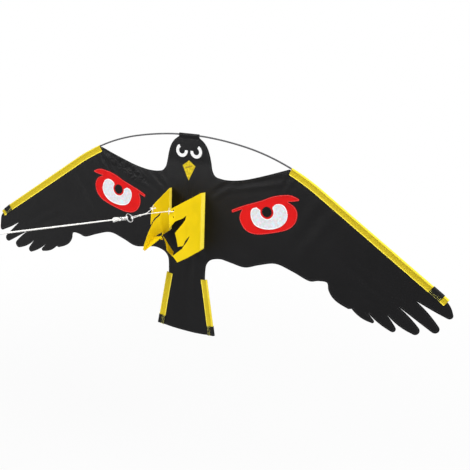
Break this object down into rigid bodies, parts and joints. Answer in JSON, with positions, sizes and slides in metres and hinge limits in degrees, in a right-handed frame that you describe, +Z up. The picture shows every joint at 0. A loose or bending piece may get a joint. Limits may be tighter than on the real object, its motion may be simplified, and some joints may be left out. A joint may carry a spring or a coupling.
{
  "type": "hawk kite bird scarer",
  "caption": "Hawk-shaped bird-scaring kite with a bent rod bow, taped tail, talon keels, bridle, split ring, barrel swivel and tie-on line.",
  "frame": {"origin": "middle of the tied loop at the far end of the line, where the kite is fastened to its pole", "axes": "+X along the wing span towards the right of the picture, +Y from the loop to the kite, out of the sail's back, +Z up through the head"},
  "size_m": [1.305, 0.6652, 0.5146],
  "materials": {
    "sail_cloth": "black coated polyester, soft sheen",
    "sleeve_tape": "yellow woven tape",
    "black_webbing": "black woven webbing",
    "fibreglass": "dark grey fibreglass",
    "ferrule": "plain tube",
    "white_patch": "white sewn cloth",
    "pearl_foil": "pearly reflective film on cloth",
    "red_patch": "red sewn cloth",
    "black_patch": "black sewn cloth",
    "talon_cloth": "yellow coated cloth",
    "bridle_cord": "thin white twine",
    "line_cord": "white braided cord",
    "ring_steel": "plated steel wire",
    "swivel_metal": "nickel plated"
  },
  "bodies": {
    "kite": {"sail": "sail_cloth", "head_pocket": "sail_cloth", "spar_ferrule": "ferrule", "left_wing_rod": "fibreglass", "right_wing_rod": "fibreglass", "left_wing_sleeve": "sleeve_tape", "right_wing_sleeve": "sleeve_tape", "left_wing_band": "black_webbing", "right_wing_band": "black_webbing", "left_tail_rod": "fibreglass", "right_tail_rod": "fibreglass", "left_tail_sleeve": "sleeve_tape", "right_tail_sleeve": "sleeve_tape", "left_tail_band": "black_webbing", "right_tail_band": "black_webbing", "left_head_eye": "white_patch", "right_head_eye": "white_patch", "beak": "sleeve_tape", "left_eye_patch": "red_patch", "right_eye_patch": "red_patch", "left_eye_white": "pearl_foil", "right_eye_white": "pearl_foil", "left_pupil": "black_patch", "right_pupil": "black_patch", "left_keel_tape": "black_webbing", "right_keel_tape": "black_webbing"},
    "left_talon": {"left_talon": "talon_cloth"},
    "right_talon": {"right_talon": "talon_cloth"},
    "left_loop": {"left_talon_loop": "bridle_cord"},
    "right_loop": {"right_talon_loop": "bridle_cord"},
    "bridle": {"bridle": "bridle_cord"},
    "ring": {"split_ring": "ring_steel"},
    "ring_eye": {"swivel_ring_eye": "swivel_metal"},
    "barrel": {"swivel_barrel": "swivel_metal"},
    "line_eye": {"swivel_line_eye": "swivel_metal"},
    "line": {"line_knot": "line_cord", "line": "line_cord", "end_loop": "line_cord"}
  },
  "joints": [
    {"name": "left_talon_swing", "type": "hinge", "parent": "kite", "child": "left_talon", "pos_m": [-0.048, 0.63701, -0.12683], "axis": [0, 0, 1], "range_deg": [-15, 15]},
    {"name": "right_talon_swing", "type": "hinge", "parent": "kite", "child": "right_talon", "pos_m": [0.048, 0.63701, -0.12683], "axis": [0, 0, 1], "range_deg": [-15.5, 15.5]},
    {"name": "left_loop_turn", "type": "hinge", "parent": "left_talon", "child": "left_loop", "pos_m": [-0.02661, 0.52697, -0.05883], "axis": [0, 0, 1], "range_deg": [-27, 27]},
    {"name": "right_loop_turn", "type": "hinge", "parent": "right_talon", "child": "right_loop", "pos_m": [0.02661, 0.52697, -0.05883], "axis": [0, 0, 1], "range_deg": [-27, 27]},
    {"name": "bridle_pitch", "type": "hinge", "parent": "left_loop", "child": "bridle", "pos_m": [-0.02272, 0.51691, -0.05839], "axis": [1, 0, 0], "range_deg": [-40, 40]},
    {"name": "ring_swing", "type": "hinge", "parent": "bridle", "child": "ring", "pos_m": [0, 0.40709, -0.05359], "axis": [0.9063, -0.0552, -0.419], "range_deg": [-30, 30]},
    {"name": "swivel_swing", "type": "hinge", "parent": "ring", "child": "ring_eye", "pos_m": [0, 0.38775, -0.05105], "axis": [0.9063, -0.0552, -0.419], "range_deg": [-25, 25]},
    {"name": "barrel_spin", "type": "hinge", "parent": "ring_eye", "child": "barrel", "pos_m": [0, 0.38061, -0.05011], "axis": [0, -0.9914, 0.1305], "continuous": true},
    {"name": "line_eye_spin", "type": "hinge", "parent": "barrel", "child": "line_eye", "pos_m": [0, 0.36525, -0.04809], "axis": [0, -0.9914, 0.1305], "continuous": true},
    {"name": "line_swing", "type": "hinge", "parent": "line_eye", "child": "line", "pos_m": [0, 0.36108, -0.04754], "axis": [0.4226, 0.1183, 0.8986], "range_deg": [-25, 25]}
  ],
  "couplings": [
    {"joint": "right_talon_swing", "follows": "left_talon_swing", "ratio": 1},
    {"joint": "left_loop_turn", "follows": "left_talon_swing", "ratio": -1.77},
    {"joint": "right_loop_turn", "follows": "left_talon_swing", "ratio": -1.77}
  ]
}
